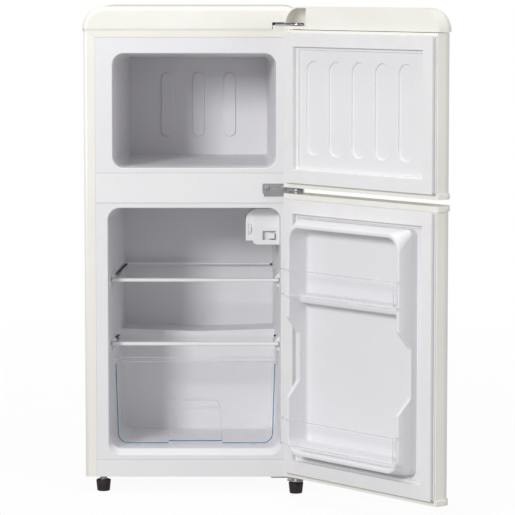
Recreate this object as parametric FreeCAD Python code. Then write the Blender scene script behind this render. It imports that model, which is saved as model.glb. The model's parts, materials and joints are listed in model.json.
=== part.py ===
"""A two-door retro mini fridge, standing open: a cream steel cabinet with a white lined
freezer over a white lined fridge compartment, both doors hinged on the right.

Frame: X = 0 is the middle of the cabinet, +X to the right as seen from the front, Y = 0 the
middle of its depth with the front towards -Y, and Z = 0 the floor. Lengths in millimetres.
The doors are drawn closed and then swung open about their common hinge axis.
"""
import FreeCAD, Part
import math
import os
from FreeCAD import Vector

# ---------------------------------------------------------------- driving dimensions
WIDTH = 430.0            # cabinet and doors
DEPTH = 420.0            # cabinet without its doors
HEIGHT = 953.5           # floor to the top of the caps
FOOT_HEIGHT = 30.0       # floor to the underside of the cabinet
SHEET = 1.2              # steel of the shell
LINER = 2.0              # moulded liner wall
FACE = -DEPTH / 2        # plane that the doors close against
REAR = DEPTH / 2
SIDE = WIDTH / 2

CAP_TOP_RADIUS = 43.0    # round shoulders of both caps, seen from the front
SHELL_TOP = 909.0        # top sheet of the shell
CAP_SIDE_BOTTOM = 906.0  # the cap's side skirts hang a little over the shell
FLANGE = 22.0            # cream front flange of the shell, each side
STRIP_BOTTOM = 894.0     # cream strip over the freezer

FREEZER_FLANGE = (629.5, STRIP_BOTTOM)
MULLION = (571.0, 629.5)
FRIDGE_FLANGE = (64.3, 571.0)
BOTTOM_RAIL = (FOOT_HEIGHT, 64.3)
INNER_HALF = SIDE - FLANGE - 0.2

FREEZER_DEPTH = 350.0
FRIDGE_DEPTH = 354.0
FRIDGE_FLOOR = 84.0
FRIDGE_LIP = 14.0        # depth over which the mouth's sill climbs to the floor
HUMP_FRONT = 47.0        # Y of the step over the machine bay
HUMP_TOP = 294.0
GUTTER = 7.0             # dip of the hump's top towards its drain

BAY_FRONT = 80.0         # Y of the machine bay's front wall
BAY_TOP = 262.0

SHELF_FRONT = FACE + 48.0
SHELF_Z = 411.0          # underside of the glass shelf's trim
COVER_Z = 284.0          # underside of the crisper cover's trim
TRIM_HEIGHT = 6.5
GLASS = 4.0
DRAWER_Z = (88.5, 261.0)
DRAWER_FRONT = FACE + 50.0
DRAWER_BACK = FACE + 238.0
DRAWER_WALL = 2.5

PIVOT_X = 200.0          # common axis of both doors
PIVOT_Y = FACE - 32.0
DOOR_OPEN = 130.0        # degrees, the stored pose of both doors
DOOR_INNER = FACE - 13.0
DOOR_OUTER = DOOR_INNER - 42.0
DOOR_ROUND = 24.0
CAP_PROUD = 2.5          # door caps stand this far out of the door skins
CAP_STRIP = 10.0
FREEZER_DOOR = (604.5, HEIGHT)
FRIDGE_DOOR = (37.5, 592.5)
FREEZER_DOOR_WHITE = (614.5, 903.5)
FRIDGE_DOOR_WHITE = (47.5, 582.5)
DOOR_CAP_BOTTOM = 910.0
CAP_SEAM = 1.4           # open seam between the cap and the skin under it
DOOR_FLANGE = 2.0

GASKET_X = (-213.0, 202.5)  # outer edges: the seal is set in further on the hinge side
GASKET_WIDTH = 26.0
GASKET_FOOT = 6.0
DIKE_HALF = 163.0        # raised wall round the racks of the fridge door
DIKE_WALL = 11.0
DIKE_Z = (90.0, 547.0)
PAN_ROUND = 8.0          # soft corner between the pan and the raised wall
DIKE_TOP = FACE + 30.0
DIKE_LOW = FACE + 1.0
DOOR_PAN = FACE - 20.0
RACK_HEIGHT = 50.0
UPPER_RACK_Z = 404.0
LOWER_RACK_Z = 115.0
RACK_FRONT = FACE + 46.0
RACK_LAP = (-162.0, 164.0)  # the rack laps over the raised wall on both sides

PIN = 4.0                # radius of the hinge pins and of the foot studs
RUNNING = 0.05           # radial clearance of a pin in its bush
LEFT_FOOT = (-181.0, FACE + 15.0)
RIGHT_FOOT = (199.0, FACE - 12.0)
REAR_FEET = ((-175.0, 178.0), (175.0, 178.0))
GAP = 0.3                # least clearance between pieces that move apart

PARTS = {}


# ---------------------------------------------------------------- plain shapes
def block(x, y, z):
    return Part.makeBox(x[1] - x[0], y[1] - y[0], z[1] - z[0], Vector(x[0], y[0], z[0]))


def rod(base, axis, radius, length):
    return Part.makeCylinder(radius, length, Vector(*base), Vector(*axis))


def ring(base, axis, outer, inner, length):
    return rod(base, axis, outer, length).cut(rod(base, axis, inner, length))


def prism(points, vector):
    """A straight-sided solid on a closed outline of points."""
    outline = [Vector(*p) for p in points]
    face = Part.Face(Part.makePolygon(outline + outline[:1]))
    return face.extrude(Vector(*vector))


def arc(start, centre, end):
    """The short arc about centre from start to end."""
    start, centre, end = Vector(*start), Vector(*centre), Vector(*end)
    towards = ((start - centre) + (end - centre)).normalize()
    middle = centre + towards * (start - centre).Length
    return Part.Arc(start, middle, end).toShape()


def line(start, end):
    return Part.LineSegment(Vector(*start), Vector(*end)).toShape()


def rounded(half, z, radius, y):
    """Upright rectangle with four round corners, in the plane at y."""
    (low, high), r = z, radius
    return Part.Wire([
        line((r - half, y, low), (half - r, y, low)),
        arc((half - r, y, low), (half - r, y, low + r), (half, y, low + r)),
        line((half, y, low + r), (half, y, high - r)),
        arc((half, y, high - r), (half - r, y, high - r), (half - r, y, high)),
        line((half - r, y, high), (r - half, y, high)),
        arc((r - half, y, high), (r - half, y, high - r), (-half, y, high - r)),
        line((-half, y, high - r), (-half, y, low + r)),
        arc((-half, y, low + r), (r - half, y, low + r), (r - half, y, low)),
    ])


def shoulders(half, z, radius, y):
    """Upright rectangle whose two top corners are round."""
    (low, high), r = z, radius
    return Part.Wire([
        line((-half, y, low), (half, y, low)),
        line((half, y, low), (half, y, high - r)),
        arc((half, y, high - r), (half - r, y, high - r), (half - r, y, high)),
        line((half - r, y, high), (r - half, y, high)),
        arc((r - half, y, high), (r - half, y, high - r), (-half, y, high - r)),
        line((-half, y, high - r), (-half, y, low)),
    ])


def tub(top_half, bottom_half, z, radius, y):
    """Outline of the drawer: leaning sides and round bottom corners."""
    (low, high), b, r = z, bottom_half, radius
    return Part.Wire([
        line((r - b, y, low), (b - r, y, low)),
        arc((b - r, y, low), (b - r, y, low + r), (b, y, low + r)),
        line((b, y, low + r), (top_half, y, high)),
        line((top_half, y, high), (-top_half, y, high)),
        line((-top_half, y, high), (-b, y, low + r)),
        arc((-b, y, low + r), (r - b, y, low + r), (r - b, y, low)),
    ])


def slab(outline, depth):
    """An upright outline pushed back by depth."""
    return Part.Face(outline).extrude(Vector(0, depth, 0))


def frame_slab(outer, inner, depth):
    return slab(outer, depth).cut(slab(inner, depth))


def loft(*outlines):
    return Part.makeLoft(list(outlines), True, True)


def stadium(x, z, width, y, depth):
    """An upright rib with round ends."""
    r = width / 2
    low, high = z[0] + r, z[1] - r
    outline = Part.Wire([
        line((x + r, y, low), (x + r, y, high)),
        Part.Arc(Vector(x + r, y, high), Vector(x, y, high + r), Vector(x - r, y, high)).toShape(),
        line((x - r, y, high), (x - r, y, low)),
        Part.Arc(Vector(x - r, y, low), Vector(x, y, low - r), Vector(x + r, y, low)).toShape(),
    ])
    return slab(outline, depth)


def fuse(first, *others):
    return first.multiFuse(list(others)).removeSplitter()


def cut(shape, *tools):
    for tool in tools:
        shape = shape.cut(tool)
    return shape


def soften(shape, radius, chosen):
    """Round every edge that chosen(edge) picks."""
    return shape.makeFillet(radius, [edge for edge in shape.Edges if chosen(edge)])


def upright(edge):
    box = edge.BoundBox
    return box.XLength < 0.01 and box.YLength < 0.01


def on_plane_y(y):
    return lambda edge: abs(edge.BoundBox.YMin - y) < 0.01 and abs(edge.BoundBox.YMax - y) < 0.01


def on_plane_z(z):
    return lambda edge: abs(edge.BoundBox.ZMin - z) < 0.01 and abs(edge.BoundBox.ZMax - z) < 0.01


def upright_at(y):
    return lambda edge: upright(edge) and abs(edge.BoundBox.YMin - y) < 0.01


def bent_tube(points, radius, bend):
    """A tube along straight runs that are joined by arcs of one bend radius."""
    route = [Vector(*p) for p in points]
    edges, here = [], route[0]
    for before, corner, after in zip(route, route[1:], route[2:]):
        back = (before - corner).normalize()
        ahead = (after - corner).normalize()
        half_turn = back.getAngle(ahead) / 2
        reach = bend / math.tan(half_turn)
        centre = corner + (back + ahead).normalize() * (bend / math.sin(half_turn))
        start, end = corner + back * reach, corner + ahead * reach
        edges.append(Part.LineSegment(here, start).toShape())
        edges.append(arc(tuple(start), tuple(centre), tuple(end)))
        here = end
    edges.append(Part.LineSegment(here, route[-1]).toShape())
    section = Part.Wire([Part.Circle(route[0], route[1] - route[0], radius).toShape()])
    return Part.Wire(edges).makePipeShell([section], True, True)


def mirrored(shape):
    return shape.mirror(Vector(0, 0, 0), Vector(1, 0, 0))


def swung(shape):
    """A piece drawn on the closed door, carried to the stored open pose."""
    turned = shape.copy()
    turned.rotate(Vector(PIVOT_X, PIVOT_Y, 0), Vector(0, 0, 1), DOOR_OPEN)
    return turned


def group(*shapes):
    return Part.makeCompound([solid for shape in shapes for solid in shape.Solids])


# ---------------------------------------------------------------- cabinet shell and caps
HINGE_PAD = (153.0, 213.0)     # X of the raised pad that carries the top hinge
HINGE_PAD_TOP = 917.0
PLATE_THICK = 3.0
NOTCH = (152.0, 213.5)
NOTCH_TOP = 922.5


def cabinet_shell():
    """Steel wrap: two sides, a top sheet and a flange round the front."""
    outer = block((-SIDE, SIDE), (FACE, REAR - SHEET), (FOOT_HEIGHT, SHELL_TOP))
    outer = soften(outer, 6.0, upright_at(FACE))
    inside = SIDE - SHEET
    inner = block((-inside, inside), (FACE + SHEET, REAR + 1), (FOOT_HEIGHT - 1, SHELL_TOP - SHEET))
    inner = soften(inner, 6.0 - SHEET, upright_at(FACE + SHEET))
    mouth_half = SIDE - FLANGE
    mouth = block((-mouth_half, mouth_half), (FACE - 1, FACE + 3), (FOOT_HEIGHT - 1, STRIP_BOTTOM))
    pad = block(HINGE_PAD, (FACE, FACE + 60), (SHELL_TOP, HINGE_PAD_TOP))
    shell = fuse(cut(outer, inner, mouth), pad)
    seam = block((-SIDE - 1, SIDE + 1), (FACE - 1, FACE + 0.7), (CAP_SIDE_BOTTOM - 1.2, CAP_SIDE_BOTTOM + 0.2))
    return cut(shell, seam, *mitre_grooves(mouth_half))


def mitre_grooves(mouth_half):
    """Fine seams where the side flanges meet the strip over the freezer."""
    wide, deep = 0.8, 0.8
    for side in (-1, 1):
        inner, outer = side * mouth_half, side * (mouth_half + 14.8)
        yield prism([(inner - wide, FACE - 1, STRIP_BOTTOM), (inner + wide, FACE - 1, STRIP_BOTTOM),
                     (outer + wide, FACE - 1, SHELL_TOP), (outer - wide, FACE - 1, SHELL_TOP)],
                    (0, 1 + deep, 0))


def top_cap():
    """Moulded lid of the cabinet, hollow and open underneath."""
    proud, wall = 2.3, 3.5
    half, front = SIDE + proud, FACE - 1.5
    lid = slab(shoulders(half, (CAP_SIDE_BOTTOM, HEIGHT), CAP_TOP_RADIUS, front), REAR - front)
    lid = soften(lid, 9.0, lambda e: on_plane_y(front)(e) and e.BoundBox.ZMax > CAP_SIDE_BOTTOM + 1)
    hollow = slab(shoulders(half - wall, (CAP_SIDE_BOTTOM - 1, HEIGHT - wall),
                            CAP_TOP_RADIUS - wall, front + wall), REAR - front - 2 * wall)
    seat = block((-SIDE - 0.1, SIDE + 0.1), (FACE - 0.1, REAR + 1), (CAP_SIDE_BOTTOM - 1, SHELL_TOP + 0.1))
    chin = block((-half - 1, half + 1), (front - 1, FACE), (CAP_SIDE_BOTTOM - 1, SHELL_TOP + 0.8))
    notch = block(NOTCH, (front - 1, front + wall + 0.5), (CAP_SIDE_BOTTOM - 1, NOTCH_TOP))
    return cut(lid, hollow, seat, chin, notch)


def rear_panel():
    return block((-SIDE, SIDE), (REAR - SHEET, REAR), (BAY_TOP, SHELL_TOP))


# ---------------------------------------------------------------- liners
def freezer_cavity(grow=0.0):
    """Inside of the freezer, or with grow the outside of its wall."""
    return loft(
        rounded(159.5 + grow, (639.0 - grow, 862.5 + grow), 23.0 + grow, FACE - (1 if grow == 0 else 0)),
        rounded(141.0 + grow, (645.0 - grow, 845.0 + grow), 5.0 + grow, FACE + FREEZER_DEPTH + grow),
    )


def fridge_cavity(grow=0.0):
    """Inside of the fridge with the step over the machine bay, or the outside of its wall."""
    radius = 24.0 + grow
    top = 561.0 + grow
    space = loft(
        rounded(169.2 + grow, (73.0 - grow, top), radius, FACE),
        rounded(168.2 + grow, (FRIDGE_FLOOR - grow, top - 1), radius, FACE + FRIDGE_LIP),
        rounded(153.0 + grow, (FRIDGE_FLOOR - grow, top - 3), radius, FACE + FRIDGE_DEPTH + grow),
    )
    wide = SIDE
    hump = prism([(-wide, HUMP_FRONT + grow, 0), (wide, HUMP_FRONT + grow, 0),
                  (wide, HUMP_FRONT + grow, HUMP_TOP - grow),
                  (0, HUMP_FRONT + grow, HUMP_TOP - GUTTER - grow),
                  (-wide, HUMP_FRONT + grow, HUMP_TOP - grow)], (0, DEPTH, 0))
    return space.cut(hump)


def liner_flange(z):
    return block((-INNER_HALF, INNER_HALF), (FACE, FACE + LINER), (z[0] + 0.15, z[1] - 0.4))


def freezer_liner():
    """White tub of the freezer, with three upright ribs on its back wall."""
    tub_wall = fuse(liner_flange(FREEZER_FLANGE), freezer_cavity(LINER)).cut(freezer_cavity())
    tub_wall = soften(tub_wall, 1.8, on_mouth(159.5))
    back = FACE + FREEZER_DEPTH
    ribs = [stadium(x, (682.0, 814.0), 24.6, back - 3.0, 4.0) for x in (-64.6, 0.0, 64.6)]
    ribs = [soften(rib, 1.5, on_plane_y(back - 3.0)) for rib in ribs]
    return fuse(tub_wall, *ribs)


def on_mouth(half):
    """Edges of a cavity's mouth in the face plane."""
    return lambda e: on_plane_y(FACE)(e) and max(abs(e.BoundBox.XMin), abs(e.BoundBox.XMax)) < half + 1


def shelf_ledge(top, y):
    """Moulded wedge along each side wall that carries a shelf."""
    reach, height, inner = 12.0, 15.0, 154.0
    wedge = prism([(inner, y[0], top), (SIDE - 25, y[0], top),
                   (SIDE - 25, y[0], top - height - 25), (inner + reach, y[0], top - height)],
                  (0, y[1] - y[0], 0))
    return wedge


def shelf_nub(bottom, y):
    """Small wedge over the glass that keeps a shelf from tipping."""
    return prism([(157.0, y[0], bottom), (SIDE - 25, y[0], bottom),
                  (SIDE - 25, y[0], bottom + 24), (164.0, y[0], bottom + 9)], (0, y[1] - y[0], 0))


def fridge_liner():
    """White tub of the fridge with the ledges for its two shelves and the drain."""
    outside = fridge_cavity(LINER)
    tub_wall = fuse(liner_flange(FRIDGE_FLANGE), outside).cut(fridge_cavity())
    tub_wall = soften(tub_wall, 1.8, on_mouth(169.2))
    glass_back = FACE + FRIDGE_DEPTH - 8.0
    cover_back = FACE + 168.0
    right = [
        shelf_ledge(SHELF_Z + 1.2, (SHELF_FRONT + 15, glass_back)),
        shelf_ledge(COVER_Z + 1.2, (SHELF_FRONT + 15, cover_back)),
        shelf_nub(SHELF_Z + TRIM_HEIGHT + 1, (SHELF_FRONT + 4, SHELF_FRONT + 40)),
        shelf_nub(COVER_Z + TRIM_HEIGHT + 1, (SHELF_FRONT + 4, SHELF_FRONT + 40)),
    ]
    ledges = [piece.common(outside) for piece in right]
    ledges += [mirrored(piece) for piece in ledges]
    drain = rod((0, DRAIN_Y, BAY_TOP), (0, 0, 1), DRAIN_BORE, HUMP_TOP - BAY_TOP)
    return fuse(tub_wall, *ledges).cut(drain)


def center_mullion():
    """Flat white beam between the two compartments."""
    beam = block((-INNER_HALF, INNER_HALF), (FACE, FACE + 8), (MULLION[0] + 0.15, MULLION[1] - 0.15))
    return cut(beam, *[rod((x, FACE - 1, z), (0, 1, 0), SCREW_SHANK, 20) for x, z in MIDDLE_SCREWS])


def bottom_rail():
    return block((-INNER_HALF, INNER_HALF), (FACE, FACE + 5.5), (BOTTOM_RAIL[0], BOTTOM_RAIL[1] - 0.15))


# ---------------------------------------------------------------- insulation and base
DRAIN_Y = 130.0
DRAIN_BORE = 6.0


def wedge_side(front, back, y, z):
    """Foam between a leaning liner wall and the shell, on the right-hand side."""
    outside, bevel = SIDE - SHEET - 0.3, 4.0
    return prism([(outside - bevel, y[0], z[0]), (front, y[0], z[0]), (back, y[1], z[0]),
                  (outside, y[1], z[0]), (outside, y[0] + bevel, z[0])], (0, 0, z[1] - z[0]))


def cabinet_insulation():
    """Rigid foam in straight slabs that stay just clear of the liners and the shell."""
    outside = SIDE - SHEET - 0.3
    front, back = FACE + LINER + 0.2, REAR - SHEET - 0.4
    wide = (-outside, outside)
    freezer_side = wedge_side(162.3, 143.9, (front, 145.0), (637.0, 866.0))
    fridge_side = wedge_side(172.3, 160.0, (front, BAY_FRONT - 0.2), (BOTTOM_RAIL[1] + 0.2, 563.4))
    fridge_side_back = wedge_side(159.8, 155.9, (BAY_FRONT, 146.4), (BAY_TOP + 1.6, 563.4))
    drain_gap = DRAIN_BORE + 3.0
    hump_top = HUMP_TOP - GUTTER - LINER - 0.4
    slabs = [
        block(wide, (front + 4, back), (866.2, SHELL_TOP - SHEET - 0.3)),
        freezer_side, mirrored(freezer_side),
        block(wide, (158.0, back), (637.0, 866.0)),
        block(wide, (FACE + 8.2, back), (563.6, 636.8)),
        fridge_side, mirrored(fridge_side),
        fridge_side_back, mirrored(fridge_side_back),
        block(wide, (146.6, back), (BAY_TOP + 1.6, 563.4)),
        block((-159.6, 159.6), (FACE + 6.0, HUMP_FRONT + 1.9), (46.0, 70.8)),
        block((-159.6, 159.6), (FACE + 17.0, HUMP_FRONT + 1.9), (71.0, FRIDGE_FLOOR - LINER - 0.2)),
        block((-159.6, 159.6), (HUMP_FRONT + LINER + 0.2, BAY_FRONT - 0.2), (46.0, hump_top)),
        block((drain_gap, 155.5), (BAY_FRONT, 146.4), (BAY_TOP + 1.6, hump_top)),
        block((-155.5, -drain_gap), (BAY_FRONT, 146.4), (BAY_TOP + 1.6, hump_top)),
    ]
    return group(*slabs)


BRACKET_SCREWS = ((165.0, -185.0), (195.0, -165.0))
SCREW_SHANK = 2.0
SCREW_HEAD = 5.0
MIDDLE_SCREWS = ((142.6, 600.0), (174.7, 600.0))
TOP_SCREWS = ((166.0, -170.0), (184.0, -170.0), (202.0, -170.0))


def base_panel():
    """Floor sheet of the cabinet with side flanges and bosses for what screws into it."""
    half, top = SIDE - SHEET - 0.1, FOOT_HEIGHT + 3
    sheet = block((-half, half), (FACE + 6, BAY_FRONT - 0.2), (FOOT_HEIGHT, top))
    flange = block((half - 1.5, half), (FACE + 6, BAY_FRONT - 0.2), (FOOT_HEIGHT, BOTTOM_RAIL[1]))
    bosses = [rod((LEFT_FOOT[0], LEFT_FOOT[1], top), (0, 0, 1), 8.0, 12.0)]
    bosses += [rod((x, y, top), (0, 0, 1), 5.0, 12.0) for x, y in BRACKET_SCREWS]
    bores = [rod((LEFT_FOOT[0], LEFT_FOOT[1], 0), (0, 0, 1), PIN + RUNNING, 60)]
    bores += [rod((x, y, 0), (0, 0, 1), SCREW_SHANK, 60) for x, y in BRACKET_SCREWS]
    return cut(fuse(sheet, flange, mirrored(flange), *bosses), *bores)


def machine_bay_panel():
    """Folded sheet that closes the foam off from the machine bay."""
    half, sheet = SIDE - SHEET - 0.1, SHEET
    bay = (BAY_FRONT, REAR - 4)
    box = block((-half, half), bay, (FOOT_HEIGHT + 2.2, BAY_TOP + sheet))
    room = block((sheet - half, half - sheet), (BAY_FRONT + sheet, REAR), (0, BAY_TOP))
    drain = rod((0, DRAIN_Y, BAY_TOP - 5), (0, 0, 1), DRAIN_BORE + 0.5, 10)
    return cut(box, room, drain)


def rear_foot(x, y):
    return Part.makeCone(13.0, 15.0, FOOT_HEIGHT, Vector(x, y, 0), Vector(0, 0, 1))


# ---------------------------------------------------------------- cooling machine
COMPRESSOR = (-30.0, 146.0)
COMPRESSOR_FEET = [(COMPRESSOR[0] + dx, COMPRESSOR[1] + dy) for dx in (-64, 64) for dy in (-38, 38)]
FOOT_PLATE_Z = 40.0


def compressor_base():
    half = SIDE - SHEET - 0.1
    sheet = block((-half, half), (BAY_FRONT + 1.5, REAR - 4), (FOOT_HEIGHT, FOOT_HEIGHT + 2))
    lip = block((-half + 2, half - 2), (REAR - 5.5, REAR - 4), (FOOT_HEIGHT, FOOT_HEIGHT + 14))
    holes = [rod((x, y, 0), (0, 0, 1), 3.0, 60) for x, y in COMPRESSOR_FEET]
    inlet = rod((GLAND_X, REAR - 10, GLAND_Z), (0, 1, 0), 4.0, 20)
    return cut(fuse(sheet, lip), inlet, *holes)


def compressor():
    """Welded can on a foot plate."""
    x, y = COMPRESSOR
    lower = soften(rod((x, y, 43.0), (0, 0, 1), 50.0, 62.0), 18.0, on_plane_z(43.0))
    upper = soften(rod((x, y, 105.0), (0, 0, 1), 52.0, 55.0), 30.0, on_plane_z(160.0))
    plate = block((x - 74, x + 74), (y - 46, y + 46), (FOOT_PLATE_Z, FOOT_PLATE_Z + 3))
    can = fuse(lower, upper, plate)
    return cut(can, *[rod((fx, fy, 0), (0, 0, 1), 3.1, 60) for fx, fy in COMPRESSOR_FEET])


def compressor_grommets():
    bottom = FOOT_HEIGHT + 2
    return group(*[ring((x, y, bottom), (0, 0, 1), 8.0, 3.1, FOOT_PLATE_Z - bottom)
                   for x, y in COMPRESSOR_FEET])


def compressor_bolts():
    top = FOOT_PLATE_Z + 3
    bolts = [fuse(rod((x, y, FOOT_HEIGHT), (0, 0, 1), 3.0, top - FOOT_HEIGHT),
                  rod((x, y, top), (0, 0, 1), 6.0, 4.0)) for x, y in COMPRESSOR_FEET]
    return group(*bolts)


def start_relay_box():
    x, y = COMPRESSOR
    return soften(block((x + 52.5, x + 84), (y - 20, y + 20), (72, 118)), 3.0, upright)


def filter_drier():
    """Copper capsule that stands beside the compressor."""
    x, y, low, high, radius, neck = 130.0, 180.0, 90.0, 195.0, 10.0, 12.0
    body = rod((x, y, low), (0, 0, 1), radius, high - low)
    top = Part.makeCone(radius, 3.0, neck, Vector(x, y, high), Vector(0, 0, 1))
    bottom = Part.makeCone(radius, 3.0, neck, Vector(x, y, low), Vector(0, 0, -1))
    return fuse(body, top, bottom)


def discharge_pipe():
    x, y = COMPRESSOR
    return bent_tube([(x + 52.2, y - 34, 60), (x + 110, y - 34, 60), (x + 110, 180, 60), (130, 180, 60),
                      (130, 180, 77.8)], 3.0, 8.0)


def suction_pipe():
    x, y = COMPRESSOR
    return bent_tube([(x - 52.2, y + 26, 130), (x - 90, y + 26, 130), (x - 90, y + 26, BAY_TOP - 1)], 4.0, 14.0)


def evaporator_coil():
    """Serpentine tube behind the freezer's back wall."""
    rows, pitch, reach, low = 6, 32.0, 120.0, 665.0
    points = []
    for row in range(rows):
        side = 1 if row % 2 else -1
        z = low + row * pitch
        points += [(side * reach, 151.0, z), (-side * reach, 151.0, z)]
    return bent_tube(points, 4.0, 12.0)


def drip_tray():
    x, y = COMPRESSOR
    outer = soften(block((x - 50, x + 70), (100, 196), (164, 184)), 8.0, upright)
    inner = soften(block((x - 48, x + 68), (102, 194), (166, 190)), 6.0, upright)
    return outer.cut(inner)


def drain_tube():
    top = HUMP_TOP - GUTTER - 1.0
    return ring((0, DRAIN_Y, 180), (0, 0, 1), DRAIN_BORE - 0.2, 4.2, top - 180)


GLAND_X = 165.0
GLAND_Z = 38.0


def power_inlet_gland():
    """Empty strain relief at the foot of the machine bay."""
    y = REAR - 5.5
    sleeve = fuse(rod((GLAND_X, y - 4, GLAND_Z), (0, 1, 0), 4.0, 12),
                  rod((GLAND_X, y + 1.5, GLAND_Z), (0, 1, 0), 6.5, 4.0))
    return sleeve.cut(rod((GLAND_X, y - 10, GLAND_Z), (0, 1, 0), 2.5, 30))


# ---------------------------------------------------------------- thermostat and lamp
HOUSING_FRONT = FACE + 38.0
HOUSING_Z = (486.0, 552.0)
HOUSING_LEFT = 114.0
BASE_LEFT = 100.0
BASE_FRONT = FACE + 52.0
BASE_BACK = FACE + 138.0
DIAL_CENTRE = (BASE_FRONT + 9.0, 515.0)
DIAL_RADIUS = 13.0
DIAL_X = (105.0, 110.5)
SWITCH_X = (144.0, 157.0)
SWITCH_Z = (498.0, 509.0)
SWITCH_TRAVEL = 4.0


def housing_profile():
    """Side view of the front box: a flat face that curls back into the ceiling."""
    low, high = HOUSING_Z
    x, curl = HOUSING_LEFT, 34.0
    return Part.Wire([
        line((x, BASE_BACK, low), (x, HOUSING_FRONT, low)),
        line((x, HOUSING_FRONT, low), (x, HOUSING_FRONT, high - curl)),
        arc((x, HOUSING_FRONT, high - curl), (x, HOUSING_FRONT + curl, high - curl),
            (x, HOUSING_FRONT + curl, high)),
        line((x, HOUSING_FRONT + curl, high), (x, BASE_BACK, high)),
        line((x, BASE_BACK, high), (x, BASE_BACK, low)),
    ])


def thermostat_housing():
    """White box under the ceiling with the dial's slot and the switch's pocket."""
    front_box = Part.Face(housing_profile()).extrude(Vector(60, 0, 0))
    front_box = soften(front_box, 8.0, lambda e: e.BoundBox.ZMax < HOUSING_Z[0] + 0.1
                       and e.BoundBox.XMax < HOUSING_LEFT + 0.1)
    base_z, shoulder = (HOUSING_Z[0] + 6, HOUSING_Z[1] + 4), 25.0
    x, y = BASE_LEFT, BASE_FRONT
    outline = Part.Wire([
        line((x, y, base_z[0]), (x, y, base_z[1] - shoulder)),
        arc((x, y, base_z[1] - shoulder), (x + shoulder, y, base_z[1] - shoulder),
            (x + shoulder, y, base_z[1])),
        line((x + shoulder, y, base_z[1]), (x + 75, y, base_z[1])),
        line((x + 75, y, base_z[1]), (x + 75, y, base_z[0])),
        line((x + 75, y, base_z[0]), (x, y, base_z[0])),
    ])
    base = soften(slab(outline, BASE_BACK - BASE_FRONT), 2.0, on_plane_y(BASE_FRONT))
    body = fuse(front_box, base).common(fridge_cavity(-0.4))
    room = block((HOUSING_LEFT + 3, 158), (HOUSING_FRONT + 12, BASE_BACK - 3), (HOUSING_Z[0] + 3, HOUSING_Z[1] - 4))
    room = room.common(Part.Face(housing_profile()).extrude(Vector(60, 0, 0)).translated(Vector(0, 4, -4)))
    window = block(LENS_X, LENS_Y, (HOUSING_Z[0] - 1, HOUSING_Z[0] + 4))
    pocket = block((133.0, 159.0), (HOUSING_FRONT - 1, HOUSING_FRONT + 9), (495.0, 513.0))
    slot = rod((DIAL_X[0] - 0.5, *DIAL_CENTRE), (1, 0, 0), DIAL_RADIUS + 0.8, DIAL_X[1] - DIAL_X[0] + 1)
    axle_bore = rod((BASE_LEFT + 2, *DIAL_CENTRE), (1, 0, 0), 2.0 + RUNNING, 11.5)
    return cut(body, room, window, pocket, slot, axle_bore)


LENS_X = (119.0, 153.0)
LENS_Y = (FACE + 60.0, FACE + 118.0)


def lamp_lens():
    return block((LENS_X[0] + 0.2, LENS_X[1] - 0.2), (LENS_Y[0] + 0.2, LENS_Y[1] - 0.2),
                 (HOUSING_Z[0] - 0.5, HOUSING_Z[0] + 2.5))


def lamp_bulb():
    x, y, z, radius = 136.0, FACE + 90.0, 512.0, 9.0
    bulb = Part.makeSphere(radius, Vector(x, y, z))
    return fuse(bulb, rod((x, y, z), (0, 0, 1), 6.0, HOUSING_Z[1] - 4 - z))


def thermostat_dial():
    """Notched wheel on its own axle, seen edge-on through the housing's slot."""
    wheel = rod((DIAL_X[0], *DIAL_CENTRE), (1, 0, 0), DIAL_RADIUS, DIAL_X[1] - DIAL_X[0])
    axle = rod((BASE_LEFT + 2.5, *DIAL_CENTRE), (1, 0, 0), 2.0, 10.5)
    notches = []
    for step in range(18):
        turn = math.radians(step * 20)
        y = DIAL_CENTRE[0] + DIAL_RADIUS * math.cos(turn)
        z = DIAL_CENTRE[1] + DIAL_RADIUS * math.sin(turn)
        notches.append(rod((DIAL_X[0] - 1, y, z), (1, 0, 0), 0.9, 10))
    return cut(fuse(wheel, axle), *notches)


def door_light_switch():
    """Spring button that the closing door presses."""
    button = block(SWITCH_X, (HOUSING_FRONT - 6.5, HOUSING_FRONT + 4), SWITCH_Z)
    return soften(button, 1.5, on_plane_y(HOUSING_FRONT - 6.5))


# ---------------------------------------------------------------- hinges and feet
def screw(tip, axis, shank):
    """Pan-head screw: tip is the underside of its head, axis points out of the wall."""
    head = rod(tip, axis, SCREW_HEAD, 2.4)
    head = soften(head, 1.2, lambda e: (e.CenterOfMass - Vector(*tip)).Length > 2.0)
    cross = [box_about(tip, axis, 6.0, 1.0), box_about(tip, axis, 1.0, 6.0)]
    inward = tuple(-a for a in axis)
    return fuse(cut(head, *cross), rod(tip, inward, SCREW_SHANK, shank))


def box_about(tip, axis, long_side, short_side):
    """One bar of the cross slot in a screw's head, 1.2 deep from the head's top."""
    along = Vector(*axis)
    bar = Part.makeBox(long_side, short_side, 4.0, Vector(-long_side / 2, -short_side / 2, 1.2))
    bar.Placement = FreeCAD.Placement(Vector(*tip), FreeCAD.Rotation(Vector(0, 0, 1), along))
    return bar


def top_hinge_plate():
    """Plate on the shell's pad whose arm carries the freezer door's top pin."""
    z = HINGE_PAD_TOP
    plate = block((157, 212), (FACE - 3, FACE + 60), (z, z + PLATE_THICK))
    arm = prism([(178, FACE - 3, z), (211, FACE - 3, z), (PIVOT_X + 10, PIVOT_Y, z), (PIVOT_X - 10, PIVOT_Y, z)],
                (0, 0, PLATE_THICK))
    eye = rod((PIVOT_X, PIVOT_Y, z), (0, 0, 1), 10.0, PLATE_THICK)
    pin = rod((PIVOT_X, PIVOT_Y, z - 19), (0, 0, 1), PIN, 19.0)
    cap = rod((PIVOT_X, PIVOT_Y, z + PLATE_THICK), (0, 0, 1), 5.5, 1.0)
    holes = [rod((x, y, z - 1), (0, 0, 1), SCREW_SHANK, 6) for x, y in TOP_SCREWS]
    return cut(fuse(plate, arm, eye, pin, cap), *holes)


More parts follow.
